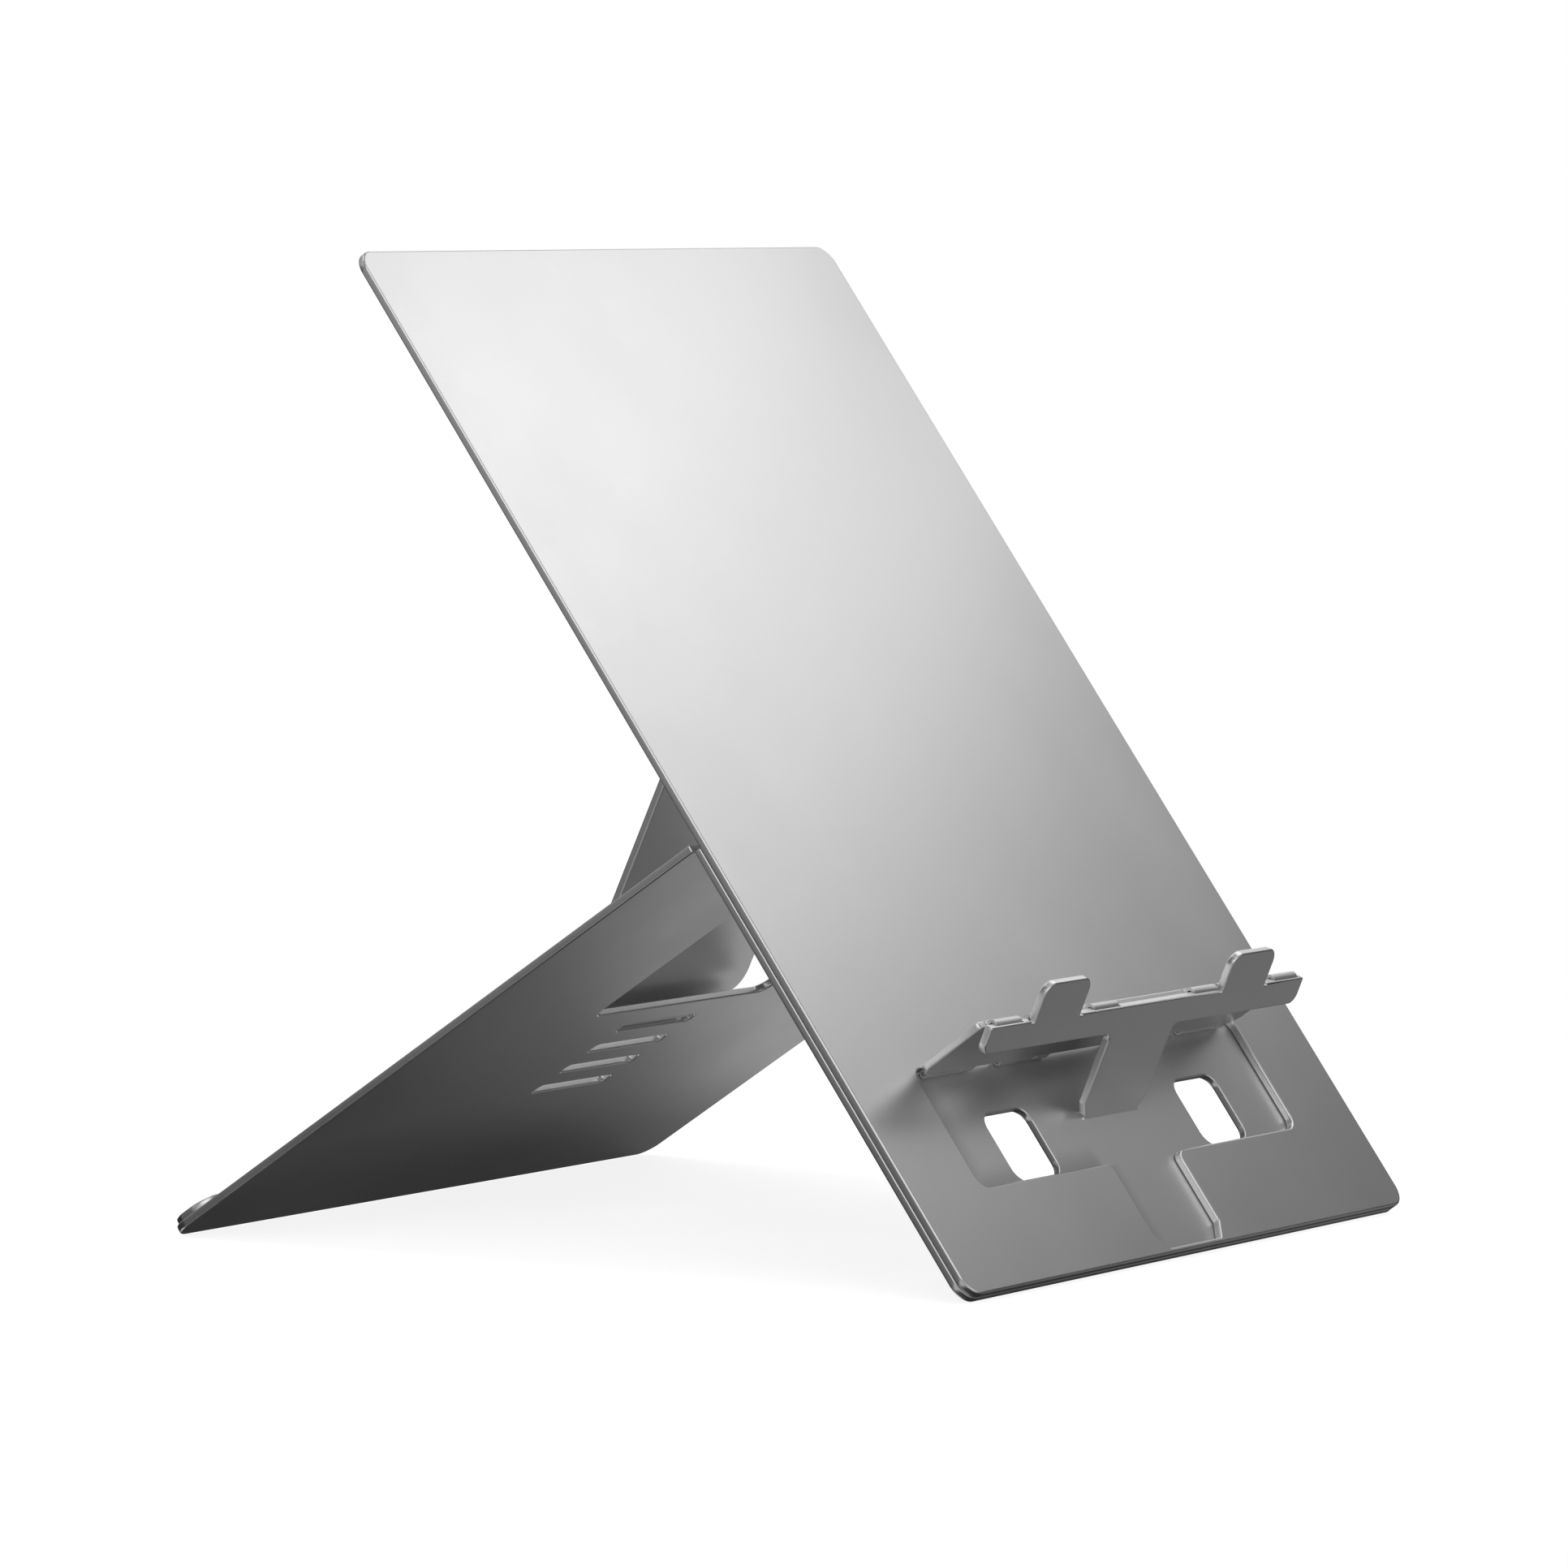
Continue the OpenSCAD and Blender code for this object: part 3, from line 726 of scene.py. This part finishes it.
# soft boxes of the studio: position, aim (m), edge (m), power (W)
LIGHTS = [
    ("box_f15", (1.9805, 0, 0.3583), (0, 0, 0.08), 0.9, 0.03096),
    ("box_f14", (1.7152, 0.9903, 0.3583), (0, 0, 0.08), 0.9, 3.635),
    ("box_f09", (-1.2817, -1.2817, -0.7652), (0, 0, 0.08), 1.2, 1.719),
    ("box_l15", (0.4123, 0.2029, -0.1921), (0.04, 0.0617, 0.0174), 0.25, 0.005699),
    ("box_f10", (-1.8126, -0, -0.7652), (0, 0, 0.08), 1.2, 2.452),
    ("box_f21", (-1.9805, -0, 0.3583), (0, 0, 0.08), 0.9, 1.405),
    ("box_f22", (-1.7152, 0.9903, 0.3583), (0, 0, 0.08), 0.9, 0.841),
    ("box_l04", (0.169, 0.0384, -0.0212), (0, -0.0174, 0.07), 0.1, 0.005053),
    ("box_s02", (0.2578, -0.1569, -0.0895), (0, -0.0735, 0.0392), 0.2, 0.01668),
    ("box_f30", (-0.963, -1.3254, 1.2272), (0, 0, 0.08), 1.1, 3.444),
    ("box_f31", (-1.5581, -0.5063, 1.2272), (0, 0, 0.08), 1.1, 4.266),
    ("box_l09", (0.2392, 0.0777, -0.0446), (0.07, 0.02, 0.0451), 0.1, 0.008395),
    ("box_l00", (0.0963, 0.0406, -0.0248), (-0.07, -0.0174, 0.07), 0.1, 0.001751),
    ("box_f27", (1.5581, -0.5063, 1.2272), (0, 0, 0.08), 1.1, 0.2832),
    ("box_f26", (1.5581, 0.5063, 1.2272), (0, 0, 0.08), 1.1, 1.638),
    ("box_a15", (0.6932, -0.1994, 0.4291), (0.05, -0.0296, 0.0828), 0.42, 0.03889),
    ("box_f28", (0.963, -1.3254, 1.2272), (0, 0, 0.08), 1.1, 0.8308),
    ("box_a09", (0.5104, -0.2152, 0.4612), (-0.11, -0.0296, 0.0828), 0.42, 0.01778),
    ("box_a06", (0.3241, -0.1404, 0.2336), (0, -0.0472, 0.0585), 0.24, 0.00724),
    ("box_a05", (0.2408, -0.0389, 0.3777), (-0.07, 0.035, 0.1719), 0.24, 0.01376),
    ("box_a00", (0.1735, -0.1481, 0.2481), (-0.14, -0.0472, 0.0585), 0.24, 0.0199),
    ("box_a02", (0.1647, -0.0417, 0.3857), (-0.14, 0.035, 0.1719), 0.24, 0.07055),
    ("box_a04", (0.2452, -0.0914, 0.3095), (-0.07, -0.0061, 0.1152), 0.24, 0.02837),
    ("box_a01", (0.1693, -0.0948, 0.3173), (-0.14, -0.0061, 0.1152), 0.24, 0.0759),
    ("box_f00", (0, 1, -1.6521), (0, 0, 0.08), 1.4, 4),
    ("box_f24", (0, 1.6383, 1.2272), (0, 0, 0.08), 1.1, 1.2),
    ("box_f25", (0.963, 1.3254, 1.2272), (0, 0, 0.08), 1.1, 2),
    ("box_f33", (-0.963, 1.3254, 1.2272), (0, 0, 0.08), 1.1, 2),
    ("box_f34", (0, 0.8452, 1.8926), (0, 0, 0.08), 1.3, 5),
    ("box_f12", (0, 1.9805, 0.3583), (0, 0, 0.08), 0.9, 0.7),
    ("box_f18", (0, -1.9805, 0.3583), (0, 0, 0.08), 0.9, 3),
    ("box_f17", (0.9903, -1.7152, 0.3583), (0, 0, 0.08), 0.9, 1.5),
    ("box_f19", (-0.9903, -1.7152, 0.3583), (0, 0, 0.08), 0.9, 1.5),
    ("box_f36", (0.4968, -0.6838, 1.8926), (0, 0, 0.08), 1.3, 2),
    ("box_f37", (-0.4968, -0.6838, 1.8926), (0, 0, 0.08), 1.3, 3),
    ("box_f08", (0, -1.8126, -0.7652), (0, 0, 0.08), 1.2, 2),
]
for _n, _l, _a, _s2, _p in LIGHTS:
    area_light(_n, _l, _a, _s2, _p)

scene.view_settings.view_transform = "Standard"
scene.view_settings.look = "None"

cam = bpy.data.cameras.new("camera")
cam.sensor_width = 36.0
cam.sensor_fit = "HORIZONTAL"
cam.lens = 189.98056359852453
cam.shift_x = 0.0003674858
cam.shift_y = -0.0006061512
cam.clip_start = 0.05
cam.clip_end = 50.0
co = bpy.data.objects.new("camera", cam)
M = ((0.53963458, 0.05980446, -0.83977256, -1.311249230801917),
     (-0.84189798, 0.04013236, -0.53814234, -0.8378296208446232),
     (0.00151874, 0.99740304, 0.07200606, 0.1959863516851643),
     (0, 0, 0, 1))
co.matrix_world = Matrix(M)
scene.collection.objects.link(co)
scene.camera = co
